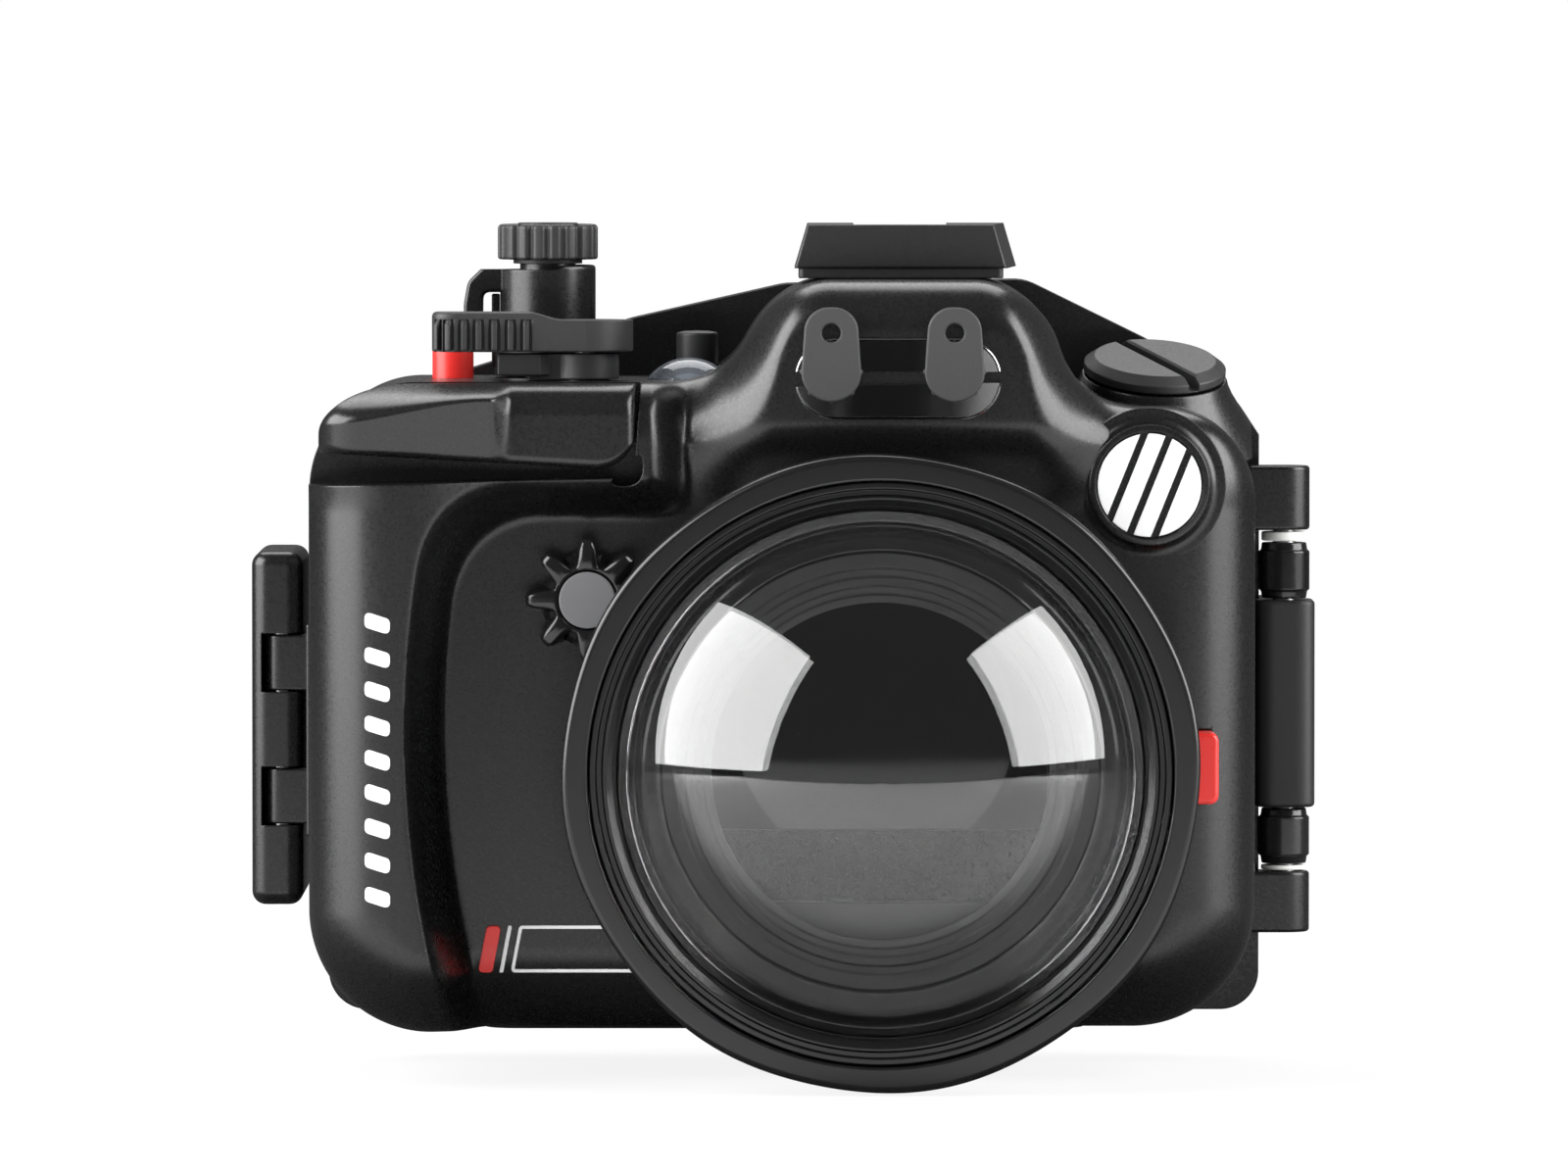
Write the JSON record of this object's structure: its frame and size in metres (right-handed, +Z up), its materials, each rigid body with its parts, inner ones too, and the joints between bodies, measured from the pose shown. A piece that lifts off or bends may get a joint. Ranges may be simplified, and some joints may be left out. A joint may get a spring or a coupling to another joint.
{
  "type": "underwater camera housing",
  "caption": "Cast aluminium underwater housing for a compact camera: round dome port, hinged rear door with a cam latch, and shafts, levers and buttons that work the camera.",
  "frame": {"origin": "middle of the base plate's bottom face, where a tray or tripod bolts on", "axes": "+X to the viewer's right in a front view, -Y out of the dome port, +Z up from the base plate"},
  "size_m": [0.1918, 0.1339, 0.1522],
  "materials": {
    "paint": "satin",
    "polymer": "matte",
    "rubber": "matte",
    "seal": "satin",
    "red": "satin",
    "steel": "satin",
    "disc": "satin",
    "washer": "satin",
    "clear": "gloss",
    "board": "satin",
    "white": "satin"
  },
  "bodies": {
    "front_body": {"front_shell": "paint", "grip_shelf": "paint", "base_plate": "polymer", "base_screw_left": "steel", "base_screw_right": "steel", "port_mount_ring": "paint", "flash_window": "clear", "badge_disc": "white", "shutter_bush": "polymer", "dial_turret": "paint", "status_lens": "clear", "status_lamp": "white", "alarm_board": "board", "moisture_sensor": "board", "cold_shoe": "paint", "shoe_screw_front": "steel", "shoe_screw_rear": "steel", "camera_tray": "polymer", "tray_screw": "steel", "hinge_lug_upper": "paint", "hinge_lug_lower": "paint", "hinge_pin": "steel", "hinge_bush_upper": "paint", "hinge_bush_lower": "paint", "hinge_washer_upper": "washer", "hinge_washer_lower": "washer", "latch_bracket": "paint", "latch_pin": "steel"},
    "port": {"port_body": "paint", "dome": "clear", "dome_clamp_ring": "paint", "port_oring": "seal", "dome_oring": "seal", "lens_baffle": "polymer"},
    "rear_door": {"rear_shell": "paint", "main_oring": "seal", "screen_window": "clear", "window_bezel": "polymer", "door_hinge_leaf": "paint", "door_catch": "paint"},
    "latch": {"latch_lever": "paint"},
    "shutter": {"shutter_lever": "polymer", "shutter_shaft": "steel"},
    "mode_dial": {"mode_knob": "polymer", "mode_shaft": "steel"},
    "power": {"power_lever": "paint"},
    "video": {"video_button": "red"},
    "top": {"top_button": "polymer"},
    "zoom": {"zoom_knob": "polymer", "zoom_knob_disc": "disc", "zoom_shaft": "steel"},
    "vacuum": {"vacuum_plug": "polymer"},
    "ring_lock": {"port_lock": "red"},
    "fibre_left": {"fibre_plug_left": "rubber"},
    "fibre_right": {"fibre_plug_right": "rubber"},
    "menu": {"menu_button": "polymer"},
    "playback": {"playback_button": "polymer"},
    "info": {"info_button": "polymer"},
    "set": {"set_button": "polymer"},
    "control_dial": {"rear_dial": "polymer"}
  },
  "joints": [
    {"name": "door_hinge", "type": "hinge", "parent": "front_body", "child": "rear_door", "pos_m": [0.0905, 0.014, 0.05], "axis": [0, 0, 1], "range_deg": [-110, 0]},
    {"name": "latch_pivot", "type": "hinge", "parent": "front_body", "child": "latch", "pos_m": [-0.0904, -0.001, 0.05], "axis": [0, 0, 1], "range_deg": [0, 90]},
    {"name": "shutter_pull", "type": "hinge", "parent": "front_body", "child": "shutter", "pos_m": [-0.0355, -0.022, 0.124], "axis": [0, 0, 1], "range_deg": [-12, 0], "stiffness_Nm_per_rad": 0.1, "springref_deg": 5.73},
    {"name": "mode_turn", "type": "hinge", "parent": "front_body", "child": "mode_dial", "pos_m": [-0.0425, 0.002, 0.14], "axis": [0, 0, 1], "continuous": true},
    {"name": "power_turn", "type": "hinge", "parent": "front_body", "child": "power", "pos_m": [-0.0425, 0.002, 0.13], "axis": [0, 0, 1], "range_deg": [-25, 25]},
    {"name": "video_press", "type": "slide", "parent": "front_body", "child": "video", "axis": [0, 0, -1], "range_m": [0, 0.0015], "stiffness_N_per_m": 400, "springref_m": -0.001},
    {"name": "top_press", "type": "slide", "parent": "front_body", "child": "top", "axis": [0, 0, -1], "range_m": [0, 0.0015], "stiffness_N_per_m": 400, "springref_m": -0.001},
    {"name": "zoom_turn", "type": "hinge", "parent": "front_body", "child": "zoom", "pos_m": [-0.0348, -0.04, 0.0779], "axis": [0, 1, 0], "continuous": true},
    {"name": "vacuum_unscrew", "type": "hinge", "parent": "front_body", "child": "vacuum", "pos_m": [0.0666, -0.001, 0.1169], "axis": [0.0536, -0.279, 0.9588], "continuous": true},
    {"name": "port_bayonet", "type": "hinge", "parent": "front_body", "child": "port", "pos_m": [0.017, -0.05, 0.0481], "axis": [0, -1, 0], "range_deg": [0, 40]},
    {"name": "port_lock_slide", "type": "slide", "parent": "front_body", "child": "ring_lock", "axis": [1, 0, 0], "range_m": [0, 0.0025], "stiffness_N_per_m": 300, "springref_m": -0.001},
    {"name": "fibre_left_pull", "type": "slide", "parent": "front_body", "child": "fibre_left", "axis": [0, -1, 0], "range_m": [0, 0.009]},
    {"name": "fibre_right_pull", "type": "slide", "parent": "front_body", "child": "fibre_right", "axis": [0, -1, 0], "range_m": [0, 0.009]},
    {"name": "menu_press", "type": "slide", "parent": "rear_door", "child": "menu", "axis": [0, -1, 0], "range_m": [0, 0.0015], "stiffness_N_per_m": 400, "springref_m": -0.001},
    {"name": "playback_press", "type": "slide", "parent": "rear_door", "child": "playback", "axis": [0, -1, 0], "range_m": [0, 0.0015], "stiffness_N_per_m": 400, "springref_m": -0.001},
    {"name": "info_press", "type": "slide", "parent": "rear_door", "child": "info", "axis": [0, -1, 0], "range_m": [0, 0.0015], "stiffness_N_per_m": 400, "springref_m": -0.001},
    {"name": "set_press", "type": "slide", "parent": "rear_door", "child": "set", "axis": [0, -1, 0], "range_m": [0, 0.0015], "stiffness_N_per_m": 400, "springref_m": -0.001},
    {"name": "control_dial_turn", "type": "hinge", "parent": "rear_door", "child": "control_dial", "pos_m": [-0.062, 0.042, 0.045], "axis": [0, 1, 0], "continuous": true}
  ]
}
